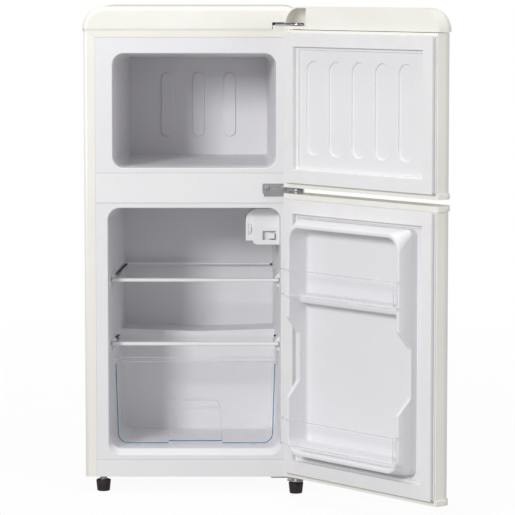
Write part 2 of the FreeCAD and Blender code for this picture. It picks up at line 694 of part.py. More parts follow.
def middle_hinge_bracket():
    """Face plate on the mullion with an arm and a double pin between the doors."""
    face = block((133, 212), (FACE - 2.5, FACE), (589.5, 609.0))
    face = soften(face, 2.0, lambda e: e.BoundBox.XLength < 0.01 and e.BoundBox.ZLength < 0.01
                  and e.BoundBox.XMin < 134)
    lip = block((136, 212), (FACE - 1.5, FACE), (584.0, 589.5))
    arm = block((180, 212), (PIVOT_Y, FACE - 2.5), (597, 600))
    eye = rod((PIVOT_X, PIVOT_Y, 597), (0, 0, 1), 12.0, 3.0)
    pin = rod((PIVOT_X, PIVOT_Y, 579), (0, 0, 1), PIN, 39.0)
    holes = [rod((x, FACE - 4, z), (0, 1, 0), SCREW_SHANK, 6) for x, z in MIDDLE_SCREWS]
    return cut(fuse(face, lip, arm, eye, pin), *holes)


def middle_hinge_washers():
    low = ring((PIVOT_X, PIVOT_Y, FRIDGE_DOOR[1] + GAP), (0, 0, 1), 9.0, PIN + 0.1,
               597 - FRIDGE_DOOR[1] - GAP)
    high = ring((PIVOT_X, PIVOT_Y, 600), (0, 0, 1), 9.0, PIN + 0.1, FREEZER_DOOR[0] - GAP - 600)
    return group(low, high)


def bottom_hinge_bracket():
    """Plate under the cabinet with the fridge door's pin and the right foot's nut."""
    z = FOOT_HEIGHT - PLATE_THICK
    plate = block((150, 213), (FACE + 4, FACE + 60), (z, FOOT_HEIGHT))
    arm = block((182, 213), (PIVOT_Y, FACE + 5), (z, FOOT_HEIGHT))
    eye = rod((PIVOT_X, PIVOT_Y, z), (0, 0, 1), 13.0, PLATE_THICK)
    pin = rod((PIVOT_X, PIVOT_Y, FOOT_HEIGHT), (0, 0, 1), PIN, 22.0)
    collar = rod((PIVOT_X, PIVOT_Y, FOOT_HEIGHT), (0, 0, 1), 8.0, FRIDGE_DOOR[0] - GAP - FOOT_HEIGHT)
    nut = rod((*RIGHT_FOOT, FOOT_HEIGHT), (0, 0, 1), 8.0, 5.5)
    holes = [rod((x, y, 0), (0, 0, 1), SCREW_SHANK, 60) for x, y in BRACKET_SCREWS]
    bore = rod((*RIGHT_FOOT, 0), (0, 0, 1), PIN + RUNNING, 60)
    return cut(fuse(plate, arm, eye, pin, collar, nut), bore, *holes)


def hinge_screws():
    top = [screw((x, y, HINGE_PAD_TOP + PLATE_THICK), (0, 0, 1), 3.0) for x, y in TOP_SCREWS]
    middle = [screw((x, FACE - 2.5, z), (0, -1, 0), 10.0) for x, z in MIDDLE_SCREWS]
    bottom = [screw((x, y, FOOT_HEIGHT - PLATE_THICK), (0, 0, -1), 14.0) for x, y in BRACKET_SCREWS]
    return group(*top, *middle, *bottom)


PAD_TOP = 23.0
STUD_FOOT = 13.0


def foot_pad(x, y):
    """Tapered levelling foot with a crown of finger notches."""
    outline = Part.Wire([
        line((0, 0, 0), (10.5, 0, 0)),
        arc((10.5, 0, 0), (10.5, 0, 2.0), (12.5, 0, 2.0)),
        line((12.5, 0, 2.0), (14.5, 0, PAD_TOP - 2)),
        line((14.5, 0, PAD_TOP - 2), (12.5, 0, PAD_TOP)),
        line((12.5, 0, PAD_TOP), (PIN, 0, PAD_TOP)),
        line((PIN, 0, PAD_TOP), (PIN, 0, STUD_FOOT)),
        line((PIN, 0, STUD_FOOT), (0, 0, STUD_FOOT)),
        line((0, 0, STUD_FOOT), (0, 0, 0)),
    ])
    pad = Part.Face(outline).revolve(Vector(0, 0, 0), Vector(0, 0, 1), 360)
    notches = []
    for step in range(14):
        turn = math.radians(step * 360 / 14)
        notches.append(rod((15.0 * math.cos(turn), 15.0 * math.sin(turn), 8), (0, 0, 1), 1.3, 20))
    return cut(pad, *notches).translated(Vector(x, y, 0))


def foot_stud(x, y, top, nut_top):
    stud = rod((x, y, STUD_FOOT), (0, 0, 1), PIN, top - STUD_FOOT)
    nut = rod((x, y, PAD_TOP), (0, 0, 1), 7.0, nut_top - PAD_TOP)
    return fuse(stud, nut)


# ---------------------------------------------------------------- doors
def door_outline(half, y, z, edge_round):
    """Upright block of a door with its two outer edges rounded."""
    body = block((-half, half), y, z)
    return soften(body, edge_round, upright_at(y[0]))


def door_skin(z, white):
    """Pressed skin: front, both sides and a narrow flange round the inner face."""
    outer = door_outline(SIDE, (DOOR_OUTER, DOOR_INNER), z, DOOR_ROUND)
    inner = door_outline(SIDE - 1.0, (DOOR_OUTER + 1.0, DOOR_INNER - 1.0), (z[0] - 1, z[1] + 1), DOOR_ROUND - 1)
    half = SIDE - DOOR_FLANGE
    window = block((-half, half), (DOOR_INNER - 2, DOOR_INNER + 1), (white[0] - 1, white[1]))
    return cut(outer, inner, window)


def door_cap_strip(z, pivot_z):
    """Flat end cap of a door with the bore for its bush."""
    strip = door_outline(SIDE + CAP_PROUD, (DOOR_OUTER - CAP_PROUD, DOOR_INNER), z, DOOR_ROUND + CAP_PROUD)
    return strip.cut(rod((PIVOT_X, PIVOT_Y, pivot_z), (0, 0, 1), BUSH_RADIUS, 60))


CHANNEL_X = (-130.0, -65.0, 0.0, 65.0, 130.0)
CHANNEL_Z = (670.0, 850.0)
CHANNEL_WIDTH = 42.0
CHANNEL_DEPTH = 4.0
BUSH_RADIUS = 8.0
POCKET_LEFT = SIDE - 62.0
POCKET_FLOOR = 916.0
SLOT_TOP = 921.6


def freezer_door_top_cap():
    """Round-shouldered cap, hollow from below, with the open pocket for the hinge arm."""
    half, outer = SIDE + CAP_PROUD, DOOR_OUTER - CAP_PROUD
    wall = 2.5
    deep = DOOR_INNER - outer
    z = (DOOR_CAP_BOTTOM, HEIGHT)
    cap = slab(shoulders(half, z, CAP_TOP_RADIUS, outer), deep)
    cap = soften(cap, DOOR_ROUND, lambda e: on_plane_y(outer)(e) and e.BoundBox.ZMax > z[0] + 0.3)
    room = shoulders(half - wall, (z[0] - 1, HEIGHT - wall), CAP_TOP_RADIUS - wall, outer + wall)
    room = soften(slab(room, deep - 2 * wall), DOOR_ROUND - wall,
                  lambda e: on_plane_y(outer + wall)(e) and e.BoundBox.ZMax > z[0] + 0.3)
    hollow = room.common(block((-half, POCKET_LEFT - wall), (outer, DOOR_INNER), (z[0] - 1, HEIGHT)))
    opening = slab(shoulders(half - wall, (z[0] - 1, HEIGHT - wall), CAP_TOP_RADIUS - wall, outer + 30), deep)
    pocket = fuse(room, opening).common(
        block((POCKET_LEFT, half), (outer, DOOR_INNER + 1), (POCKET_FLOOR, HEIGHT)))
    slot = block((PIVOT_X, half + 1), (outer - 1, DOOR_INNER + 1), (POCKET_FLOOR, SLOT_TOP))
    bore = rod((PIVOT_X, PIVOT_Y, z[0] - 1), (0, 0, 1), BUSH_RADIUS, 10)
    tab = block((198, 205), (DOOR_INNER, DOOR_INNER + 0.8), (904.5, 913.0))
    root = block((198, 205), (DOOR_INNER - 1, DOOR_INNER), (DOOR_CAP_BOTTOM, 913.0))
    return fuse(cut(cap, hollow, pocket, slot, bore), tab, root)


def door_channels(grow, depth):
    """Five upright channels pressed into the freezer door's panel, or with grow their outsides."""
    bottom = DOOR_INNER - CHANNEL_DEPTH - grow
    return [stadium(x, (CHANNEL_Z[0] - grow, CHANNEL_Z[1] + grow), CHANNEL_WIDTH + 2 * grow, bottom, depth)
            for x in CHANNEL_X]


def freezer_door_liner():
    """White inner panel of the freezer door with its five pressed channels."""
    half = SIDE - DOOR_FLANGE - 0.2
    low, high = FREEZER_DOOR_WHITE
    front, thick = DOOR_INNER, 1.5
    panel = block((-half, half), (front - thick, front), (low + 0.15, high - 0.15))
    panel = fuse(panel, *door_channels(thick, CHANNEL_DEPTH + thick))
    hollows = [soften(hollow, 2.5, on_plane_y(front - CHANNEL_DEPTH))
               for hollow in door_channels(0.0, CHANNEL_DEPTH + 1)]
    return soften(cut(panel, *hollows), 1.2, lambda e: on_plane_y(front)(e) and e.BoundBox.XLength < 2 * CHANNEL_WIDTH
                  and low + 20 < e.BoundBox.ZMin and e.BoundBox.ZMax < high - 20)


def dike_ring():
    """Raised wall round the racks, with a low stretch between them on each side.

    Returns the wall with the pan inside it, and the room that the flat panel leaves for them.
    """
    inner_half, inner_z = DIKE_HALF - DIKE_WALL, (DIKE_Z[0] + DIKE_WALL, DIKE_Z[1] - 15.0)
    back, knee = DOOR_PAN - 1.5, DIKE_TOP - 28.0
    lower = slab(rounded(DIKE_HALF, DIKE_Z, 12.0, back), knee - back)
    upper = loft(rounded(DIKE_HALF, DIKE_Z, 12.0, knee),
                 rounded(DIKE_HALF - 4, (DIKE_Z[0] + 3, DIKE_Z[1] - 7), 34.0, DIKE_TOP))
    inside = slab(rounded(inner_half, inner_z, 26.0, DOOR_PAN), 60)
    wall = cut(fuse(lower, upper), soften(inside, PAN_ROUND, on_plane_y(DOOR_PAN)))
    wall = soften(wall, 2.5, on_plane_y(DIKE_TOP))
    low_stretch = prism([(-SIDE, DIKE_TOP + 1, 201.5), (-SIDE, DIKE_TOP + 1, 361.0),
                         (-SIDE, DIKE_LOW, 327.5), (-SIDE, DIKE_LOW, 233.5)], (WIDTH, 0, 0))
    low_stretch = soften(low_stretch, 10.0, lambda e: on_plane_y(DIKE_LOW)(e) and e.BoundBox.XLength > WIDTH - 1)
    return wall.cut(low_stretch), inside


def rack_ledge(top, thick):
    """Moulded step across the panel that a rack stands on."""
    half, front, slant = DIKE_HALF - DIKE_WALL + 1, DOOR_PAN + 34, 16.0
    step = prism([(-half, DOOR_PAN - 1, top - thick), (half, DOOR_PAN - 1, top - thick),
                  (half, front - slant, top - thick), (half - slant, front, top - thick),
                  (-half, front, top - thick)], (0, 0, thick))
    return soften(step, 3.5, lambda e: on_plane_y(front)(e) and e.BoundBox.ZMax < top - 1
                  and e.BoundBox.ZLength < 0.01)


def fridge_door_liner():
    """White inner panel of the fridge door with the raised wall for its racks."""
    half = SIDE - DOOR_FLANGE - 0.2
    low, high = FRIDGE_DOOR_WHITE
    panel = block((-half, half), (DOOR_INNER - 1.5, DOOR_INNER), (low + 0.15, high - 0.15))
    dike, inside = dike_ring()
    ledges = [rack_ledge(UPPER_RACK_Z - GAP, 16.0), rack_ledge(LOWER_RACK_Z - GAP, 14.0)]
    return fuse(panel.cut(inside), dike, *ledges)


def gasket(z):
    """Soft seal: a magnet head on a narrower bellows, and a foot that laps onto the liner."""
    layers = ((0.0, 3.0, 0.0, GASKET_WIDTH + GASKET_FOOT), (3.0, 9.5, 2.5, GASKET_WIDTH), (9.5, 12.5, 0.0, GASKET_WIDTH))
    rings = []
    for start, end, outset, reach in layers:
        outer, inner = [block((GASKET_X[0] + inset, GASKET_X[1] - inset), (DOOR_INNER + start, DOOR_INNER + end),
                              (z[0] + inset, z[1] - inset)) for inset in (outset, reach)]
        rings.append(outer.cut(inner))
    return fuse(*rings)


def door_foam(z, pan_half, pan_z, bushes):
    """Foam core: a slab against the skin and four bars round the liner's pan."""
    back, middle, front = DOOR_OUTER + 1.2, DOOR_PAN - 1.7, DOOR_INNER - 1.7
    half = SIDE - 1.2
    core = cut(door_outline(half, (back, middle), z, DOOR_ROUND - 1.2), *bushes)
    bars = [
        block((pan_half, half - 8), (middle + 0.1, front), z),
        block((8 - half, -pan_half), (middle + 0.1, front), z),
        block((-pan_half + 0.1, pan_half - 0.1), (middle + 0.1, front), (pan_z[1], z[1])),
        block((-pan_half + 0.1, pan_half - 0.1), (middle + 0.1, front), (z[0], pan_z[0])),
    ]
    return group(core, *[cut(bar, *bushes) for bar in bars])


def bush(low, high):
    return ring((PIVOT_X, PIVOT_Y, low), (0, 0, 1), BUSH_RADIUS, PIN + RUNNING, high - low)


def bush_room(low, high):
    return rod((PIVOT_X, PIVOT_Y, low - 0.5), (0, 0, 1), BUSH_RADIUS + 0.2, high - low + 1)


FREEZER_BUSHES = ((FREEZER_DOOR[0], 622.0), (897.0, POCKET_FLOOR - GAP))
FRIDGE_BUSHES = ((FRIDGE_DOOR[0], 54.0), (575.0, FRIDGE_DOOR[1]))


def handle(low, high):
    """Chrome pull on the outside of a door, near its free edge."""
    x, reach, radius = -145.0, 22.0, 6.0
    axis_y = DOOR_OUTER - reach
    bar = rod((x, axis_y, low), (0, 0, 1), radius, high - low)
    bar = soften(bar, 4.0, lambda e: e.Length > 30 and not upright(e))
    posts = [rod((x, axis_y, z), (0, 1, 0), 4.5, reach) for z in (low + 16, high - 16)]
    roses = [rod((x, DOOR_OUTER - 3, z), (0, 1, 0), 9.0, 3.0) for z in (low + 16, high - 16)]
    return fuse(bar, *posts, *roses)


def freezer_door():
    skin_z = (FREEZER_DOOR_WHITE[0], DOOR_CAP_BOTTOM - CAP_SEAM)
    foam_z = (skin_z[0] + 0.2, skin_z[1] - 0.2)
    rooms = [bush_room(*span) for span in FREEZER_BUSHES]
    return {
        "freezer_door_skin": door_skin(skin_z, FREEZER_DOOR_WHITE),
        "freezer_door_top_cap": freezer_door_top_cap(),
        "freezer_door_bottom_cap": door_cap_strip((FREEZER_DOOR[0], FREEZER_DOOR_WHITE[0]), FREEZER_DOOR[0] - 5),
        "freezer_door_liner": freezer_door_liner(),
        "freezer_door_gasket": gasket((615.0, 903.0)),
        "freezer_door_insulation": freezer_door_foam(foam_z, rooms),
        "freezer_door_bushes": group(*[bush(*span) for span in FREEZER_BUSHES]),
        "freezer_door_handle": handle(650.0, 770.0),
    }


def freezer_door_foam(z, rooms):
    core = door_outline(SIDE - 1.2, (DOOR_OUTER + 1.2, DOOR_INNER - 1.7), z, DOOR_ROUND - 1.2)
    return cut(core, *rooms, *door_channels(1.7, CHANNEL_DEPTH + 3))


def fridge_door():
    foam_z = (FRIDGE_DOOR_WHITE[0] + 0.2, FRIDGE_DOOR[1] - CAP_STRIP - 0.2)
    skin_z = (FRIDGE_DOOR_WHITE[0], FRIDGE_DOOR[1] - CAP_STRIP)
    rooms = [bush_room(*span) for span in FRIDGE_BUSHES]
    pan_z = (DIKE_Z[0] - 0.2, DIKE_Z[1] + 0.2)
    return {
        "fridge_door_skin": door_skin(skin_z, (FRIDGE_DOOR_WHITE[0], FRIDGE_DOOR[1])),
        "fridge_door_top_cap": door_cap_strip((skin_z[1], FRIDGE_DOOR[1]), skin_z[1] - 5),
        "fridge_door_bottom_cap": door_cap_strip((FRIDGE_DOOR[0], skin_z[0]), FRIDGE_DOOR[0] - 5),
        "fridge_door_liner": fridge_door_liner(),
        "fridge_door_gasket": gasket((48.0, 581.5)),
        "fridge_door_insulation": door_foam(foam_z, DIKE_HALF + 0.2, pan_z, rooms),
        "fridge_door_bushes": group(*[bush(*span) for span in FRIDGE_BUSHES]),
        "fridge_door_handle": handle(420.0, 540.0),
    }


def door_rack(low):
    """Clear rack that stands on the liner's step and laps over the raised walls in front."""
    wall, floor, corner, nose = 2.2, 2.5, PAN_ROUND + 1.0, 10.0
    z, open_top = (low, low + RACK_HEIGHT), (low + floor, low + RACK_HEIGHT + 1)
    half, back, step = DIKE_HALF - DIKE_WALL - 1.5, DOOR_PAN + 0.6, DIKE_TOP + 0.6
    trough = soften(block((-half, half), (back, step + 2), z), corner, upright_at(back))
    trough = soften(trough, corner, lambda e: on_plane_z(low)(e) and e.BoundBox.XLength < 0.01
                    and abs(e.BoundBox.XMin) > half - 0.1)
    lap = soften(block(RACK_LAP, (step, RACK_FRONT), z), nose, upright_at(RACK_FRONT))
    room = block((wall - half, half - wall), (back + wall, RACK_FRONT - wall), open_top)
    room = soften(room, corner - wall, upright_at(back + wall))
    lap_room = soften(block((RACK_LAP[0] + wall, RACK_LAP[1] - wall), (step + wall, RACK_FRONT - wall), open_top),
                      nose - wall, upright_at(RACK_FRONT - wall))
    low_back = block((corner - half, half - corner), (back - 1, back + wall + 1), (z[0] + 30, z[1] + 1))
    rack = cut(fuse(trough, lap), room, lap_room, low_back)
    middle = (back + RACK_FRONT) / 2
    marks = [ring((x, middle, low + floor), (0, 0, 1), 17.0, 15.6, 0.7) for x in (-104, -52, 0, 52, 104)]
    posts = [rod((side * (half - wall), y, low + floor), (0, 0, 1), 1.5, RACK_HEIGHT - floor)
             for side in (-1, 1) for y in (back + 18, back + 34)]
    return fuse(rack, *marks, *posts)


# ---------------------------------------------------------------- shelves and drawer
def shelf_glass(low, back, front_half, back_half):
    """Glass pane that narrows towards the back with the liner."""
    front = SHELF_FRONT + 4
    return prism([(-front_half, front, low), (front_half, front, low), (back_half, back, low),
                  (-back_half, back, low)], (0, 0, GLASS))


def shelf_trim(low, glass, half):
    """Front rail with a groove for the glass."""
    rail = block((-half, half), (SHELF_FRONT, SHELF_FRONT + 13), (low, low + TRIM_HEIGHT))
    rail = soften(rail, 2.0, on_plane_y(SHELF_FRONT))
    return rail.cut(glass)


def glass_shelf():
    back = FACE + FRIDGE_DEPTH - 7.0
    glass = shelf_glass(SHELF_Z + 1.5, back, 164.0, 151.0)
    rear_bar = block((-150.5, 150.5), (back - 9, back), (SHELF_Z + 1.5 + GLASS, SHELF_Z + 9.5))
    return glass, group(shelf_trim(SHELF_Z, glass, 165.0), rear_bar)


def crisper_cover():
    glass = shelf_glass(COVER_Z + 1.5, FACE + 167.0, 164.0, 159.0)
    return glass, shelf_trim(COVER_Z, glass, 165.0)


def drawer_scoop(grow):
    """Pull recess in the middle of the drawer's front."""
    top, bottom = 47.0 + grow, 53.0 + grow
    low, high = DRAWER_Z[0] - 5, DRAWER_Z[0] + 86.0 + grow
    deep = 14.0 + grow
    scoop = prism([(-bottom, DRAWER_FRONT - 1, low), (bottom, DRAWER_FRONT - 1, low),
                   (top, DRAWER_FRONT - 1, high), (-top, DRAWER_FRONT - 1, high)], (0, deep + 1, 0))
    return soften(scoop, 8.0, lambda e: e.BoundBox.YLength > deep and e.BoundBox.ZMin > high - 1)


def crisper_drawer():
    """Clear tub with a stiffened rim, a pull recess and two runners."""
    wall, rim = DRAWER_WALL, 1.5
    low, high = DRAWER_Z
    outer = loft(tub(158.5, 152.5, (low, high), 20.0, DRAWER_FRONT),
                 tub(152.5, 147.5, (low, high), 20.0, DRAWER_BACK))
    inner = loft(tub(158.5 - wall, 152.5 - wall, (low + wall, high + 1), 18.0, DRAWER_FRONT + wall),
                 tub(152.5 - wall, 147.5 - wall, (low + wall, high + 1), 18.0, DRAWER_BACK - wall))
    shell = outer.cut(drawer_scoop(0)).cut(inner.cut(drawer_scoop(wall)))
    band = prism([(-158.5 - rim, DRAWER_FRONT, high - 8), (158.5 + rim, DRAWER_FRONT, high - 8),
                  (152.5 + rim, DRAWER_BACK, high - 8), (-152.5 - rim, DRAWER_BACK, high - 8)], (0, 0, 8))
    band = band.cut(outer)
    lip = block((-50, 50), (DRAWER_FRONT, DRAWER_FRONT + 14), (DRAWER_Z[0] + 68, DRAWER_Z[0] + 70.5))
    runners = [block((x - 6, x + 6), (DRAWER_FRONT + 1, DRAWER_BACK - 1), (FRIDGE_FLOOR + GAP, low + 0.5))
               for x in (-115.0, 115.0)]
    return fuse(shell, band, lip, *runners)


# ---------------------------------------------------------------- the whole fridge
def build():
    PARTS.update({
        "cabinet_shell": cabinet_shell(),
        "top_cap": top_cap(),
        "rear_panel": rear_panel(),
        "freezer_liner": freezer_liner(),
        "fridge_liner": fridge_liner(),
        "center_mullion": center_mullion(),
        "bottom_rail": bottom_rail(),
        "cabinet_insulation": cabinet_insulation(),
        "base_panel": base_panel(),
        "machine_bay_panel": machine_bay_panel(),
        "compressor_base": compressor_base(),
        "compressor": compressor(),
        "compressor_grommets": compressor_grommets(),
        "compressor_bolts": compressor_bolts(),
        "start_relay_box": start_relay_box(),
        "filter_drier": filter_drier(),
        "discharge_pipe": discharge_pipe(),
        "suction_pipe": suction_pipe(),
        "evaporator_coil": evaporator_coil(),
        "drip_tray": drip_tray(),
        "drain_tube": drain_tube(),
        "power_inlet_gland": power_inlet_gland(),
        "thermostat_housing": thermostat_housing(),
        "lamp_lens": lamp_lens(),
        "lamp_bulb": lamp_bulb(),
        "thermostat_dial": thermostat_dial(),
        "door_light_switch": door_light_switch(),
        "top_hinge_plate": top_hinge_plate(),
        "middle_hinge_bracket": middle_hinge_bracket(),
        "middle_hinge_washers": middle_hinge_washers(),
        "bottom_hinge_bracket": bottom_hinge_bracket(),
        "hinge_screws": hinge_screws(),
        "rear_feet": group(*[rear_foot(x, y) for x, y in REAR_FEET]),
        "left_foot_pad": foot_pad(*LEFT_FOOT),
        "left_foot_stud": foot_stud(*LEFT_FOOT, 44.0, FOOT_HEIGHT - 2.5),
        "right_foot_pad": foot_pad(*RIGHT_FOOT),
        "right_foot_stud": foot_stud(*RIGHT_FOOT, 35.3, FOOT_HEIGHT - PLATE_THICK - GAP),
        "crisper_drawer": crisper_drawer(),
    })
    PARTS["glass_shelf"], PARTS["glass_shelf_trim"] = glass_shelf()
    PARTS["crisper_cover"], PARTS["crisper_cover_trim"] = crisper_cover()
    on_doors = {**freezer_door(), **fridge_door()}
    on_doors["upper_door_rack"] = door_rack(UPPER_RACK_Z)
    on_doors["lower_door_rack"] = door_rack(LOWER_RACK_Z)
    PARTS.update({name: swung(shape) for name, shape in on_doors.items()})


def save():
    os.makedirs("parts", exist_ok=True)
    for name, shape in PARTS.items():
        sound = shape.isValid() and all(solid.isClosed() for solid in shape.Solids)
        print(f"{name:26s} solids {len(shape.Solids):2d}  sound {sound}  {shape.Volume / 1000:9.1f} cm3")
        shape.exportStep(f"parts/{name}.step")


build()
save()
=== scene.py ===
"""Looks of a two-door retro mini fridge: materials, fine trim, studio light and camera.

The CAD frame gives every size and place. Lengths here are in metres.
"""

import json
import math

import bmesh
import bpy
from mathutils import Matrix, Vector


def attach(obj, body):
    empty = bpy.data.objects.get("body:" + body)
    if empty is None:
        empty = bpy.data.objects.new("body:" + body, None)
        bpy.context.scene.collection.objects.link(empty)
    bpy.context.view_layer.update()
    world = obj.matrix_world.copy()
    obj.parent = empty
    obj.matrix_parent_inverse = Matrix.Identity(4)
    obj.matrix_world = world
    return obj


MM = 0.001

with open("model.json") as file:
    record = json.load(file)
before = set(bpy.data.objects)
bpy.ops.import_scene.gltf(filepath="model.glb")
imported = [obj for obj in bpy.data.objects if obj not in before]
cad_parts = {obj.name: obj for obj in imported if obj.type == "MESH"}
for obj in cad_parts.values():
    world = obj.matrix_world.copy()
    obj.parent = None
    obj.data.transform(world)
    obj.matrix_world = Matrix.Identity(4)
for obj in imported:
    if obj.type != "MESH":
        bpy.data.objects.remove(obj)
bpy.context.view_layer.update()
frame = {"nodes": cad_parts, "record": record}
nodes = frame["nodes"]


# ---------------------------------------------------------------- shader helpers
def srgb(red, green, blue):
    """Screen colour, 0 to 255 a channel, as the linear colour that a shader takes."""
    def linear(value):
        value /= 255
        return value / 12.92 if value <= 0.04045 else ((value + 0.055) / 1.055) ** 2.4
    return (linear(red), linear(green), linear(blue), 1.0)


class Shader:
    """A node material that starts from one Principled shader."""

    def __init__(self, name, colour, roughness, **sockets):
        self.material = bpy.data.materials.new(name)
        self.material.use_nodes = True
        self.tree = self.material.node_tree
        self.surface = self.tree.nodes["Principled BSDF"]
        self.surface.inputs["Base Color"].default_value = colour
        self.surface.inputs["Roughness"].default_value = roughness
        for socket, value in sockets.items():
            self.surface.inputs[socket.replace("_", " ")].default_value = value
        self.coordinates = self.add("ShaderNodeTexCoord").outputs["Object"]
        self.normal = None

    def add(self, kind, **settings):
        node = self.tree.nodes.new(kind)
        for key, value in settings.items():
            setattr(node, key, value)
        return node

    def link(self, source, target):
        self.tree.links.new(source, target)

    def noise(self, scale, detail=3.0, stretch=(1, 1, 1)):
        """Noise over the object's own coordinates; scale is features per metre."""
        mapping = self.add("ShaderNodeMapping")
        mapping.inputs["Scale"].default_value = stretch
        texture = self.add("ShaderNodeTexNoise")
        texture.inputs["Scale"].default_value = scale
        texture.inputs["Detail"].default_value = detail
        self.link(self.coordinates, mapping.inputs["Vector"])
        self.link(mapping.outputs["Vector"], texture.inputs["Vector"])
        return texture.outputs["Fac"]

    def ramp(self, source, low, high, start=0.35, end=0.65):
        ramp = self.add("ShaderNodeMapRange")
        ramp.inputs["From Min"].default_value = start
        ramp.inputs["From Max"].default_value = end
        ramp.inputs["To Min"].default_value = low
        ramp.inputs["To Max"].default_value = high
        self.link(source, ramp.inputs["Value"])
        return ramp.outputs["Result"]

    def vary_roughness(self, source, low, high):
        self.link(self.ramp(source, low, high), self.surface.inputs["Roughness"])
        return self

    def vary_colour(self, source, first, second, start=0.35, end=0.65):
        mix = self.add("ShaderNodeMix", data_type="RGBA")
        mix.inputs["A"].default_value = first
        mix.inputs["B"].default_value = second
        self.link(self.ramp(source, 0.0, 1.0, start, end), mix.inputs["Factor"])
        self.link(mix.outputs["Result"], self.surface.inputs["Base Color"])
        return self

    def bump(self, source, depth, strength=1.0):
        """Adds a relief of that depth in metres, on top of any before it."""
        bump = self.add("ShaderNodeBump")
        bump.inputs["Distance"].default_value = depth
        bump.inputs["Strength"].default_value = strength
        self.link(source, bump.inputs["Height"])
        if self.normal:
            self.link(self.normal, bump.inputs["Normal"])
        self.normal = bump.outputs["Normal"]
        self.link(self.normal, self.surface.inputs["Normal"])
        return self


# ---------------------------------------------------------------- materials
def cream_enamel():
    """Baked enamel on steel: faint orange peel under a clear gloss."""
    s = Shader("cream_enamel", srgb(242, 240, 233), 0.32, Coat_Weight=0.35, Coat_Roughness=0.12)
    s.vary_colour(s.noise(7), srgb(243, 241, 234), srgb(240, 238, 230))
    s.vary_roughness(s.noise(60), 0.28, 0.38)
    return s.bump(s.noise(900, 1.0), 0.00004, 0.35)


def cream_plastic():
    """Moulded cap: the enamel's colour in a softer, slightly warmer plastic."""
    s = Shader("cream_plastic", srgb(240, 239, 232), 0.36, Subsurface_Weight=0.05, Subsurface_Scale=0.004)
    s.vary_colour(s.noise(9), srgb(242, 241, 234), srgb(239, 237, 229))
    s.vary_roughness(s.noise(45), 0.32, 0.44)
    return s.bump(s.noise(1400, 2.0), 0.00003, 0.3)


def white_liner():
    """Vacuum-formed liner: satin white with a faint lilac cast and a drawn, slightly wavy skin."""
    s = Shader("white_liner", srgb(233, 232, 235), 0.42, Subsurface_Weight=0.04, Subsurface_Scale=0.003)
    s.vary_colour(s.noise(5), srgb(234, 233, 236), srgb(232, 231, 234))
    s.vary_roughness(s.noise(30), 0.38, 0.48)
    s.bump(s.noise(9, 1.0), 0.0002, 0.1)
    return s.bump(s.noise(1600, 1.0), 0.00002, 0.2)


def white_trim():
    """Injection-moulded trim, glossier than the liner."""
    s = Shader("white_trim", srgb(236, 236, 237), 0.38)
    s.vary_colour(s.noise(11), srgb(237, 237, 238), srgb(235, 235, 237))
    s.vary_roughness(s.noise(70), 0.36, 0.44)
    return s.bump(s.noise(1800, 1.0), 0.00001, 0.08)


def seal_rubber():
    """Soft white PVC of the door seals."""
    s = Shader("seal_rubber", srgb(232, 231, 232), 0.55, Subsurface_Weight=0.08, Subsurface_Scale=0.003)
    s.vary_colour(s.noise(25), srgb(234, 233, 234), srgb(231, 230, 231))
    return s.bump(s.noise(2500, 2.0), 0.00002, 0.25)


def clear_plastic():
    """Crystal styrene: nearly invisible face on, milky where it is seen edge on."""
    s = Shader("clear_plastic", srgb(240, 243, 246), 0.07, IOR=1.55)
    facing = s.add("ShaderNodeLayerWeight")
    facing.inputs["Blend"].default_value = 0.3
    s.link(s.ramp(facing.outputs["Facing"], 0.02, 0.4, 0.45, 1.0), s.surface.inputs["Alpha"])
    s.vary_roughness(s.noise(40), 0.05, 0.12)
    return s.bump(s.noise(22, 2.0), 0.0003, 0.25)


def clear_glass():
    """Tempered shelf glass with a faint cold tint."""
    s = Shader("clear_glass", srgb(214, 224, 226), 0.03, IOR=1.52)
    facing = s.add("ShaderNodeLayerWeight")
    facing.inputs["Blend"].default_value = 0.3
    s.link(s.ramp(facing.outputs["Facing"], 0.03, 0.18, 0.2, 1.0), s.surface.inputs["Alpha"])
    return s.bump(s.noise(8, 1.0), 0.0002, 0.1)


def teal_edge():
    """Tinted bead that edges the drawer."""
    s = Shader("teal_edge", srgb(24, 128, 164), 0.2)
    s.vary_colour(s.noise(60), srgb(22, 124, 160), srgb(40, 146, 180))
    return s.bump(s.noise(400), 0.0001, 0.2)


def painted_highlight():
    """Painted highlight: a pale, half-opaque colour for beads laid where clear plastic rims and folds catch
    the light.
    """
    s = Shader("painted_highlight", srgb(226, 230, 234), 0.15, Alpha=0.6)
    s.vary_roughness(s.noise(80), 0.1, 0.25)
    return s.vary_colour(s.noise(30), srgb(232, 236, 240), srgb(208, 213, 219))


def frosted_lens():
    s = Shader("frosted_lens", srgb(236, 236, 230), 0.5, Subsurface_Weight=0.3, Subsurface_Scale=0.004)
    return s.bump(s.noise(600, 1.0), 0.0002, 0.5)


def zinc_steel():
    """Bright zinc plate with a fine brushed grain."""
    s = Shader("zinc_steel", srgb(176, 174, 178), 0.34, Metallic=1.0)
    s.vary_colour(s.noise(60, 2.0, (1, 1, 6)), srgb(190, 188, 192), srgb(172, 170, 175))
    s.vary_roughness(s.noise(300, 2.0, (1, 1, 8)), 0.34, 0.44)
    return s.bump(s.noise(1500, 2.0, (1, 1, 10)), 0.00001, 0.3)


def galvanised_steel():
    """Hot-dipped sheet with its patchwork of zinc crystals."""
    s = Shader("galvanised_steel", srgb(168, 170, 172), 0.45, Metallic=0.9)
    cells = s.add("ShaderNodeTexVoronoi")
    cells.inputs["Scale"].default_value = 70
    s.link(s.coordinates, cells.inputs["Vector"])
    s.vary_colour(cells.outputs["Color"], srgb(176, 178, 180), srgb(150, 153, 156), 0.1, 0.9)
    s.vary_roughness(cells.outputs["Color"], 0.36, 0.56)
    return s.bump(s.noise(900, 2.0), 0.00003, 0.3)


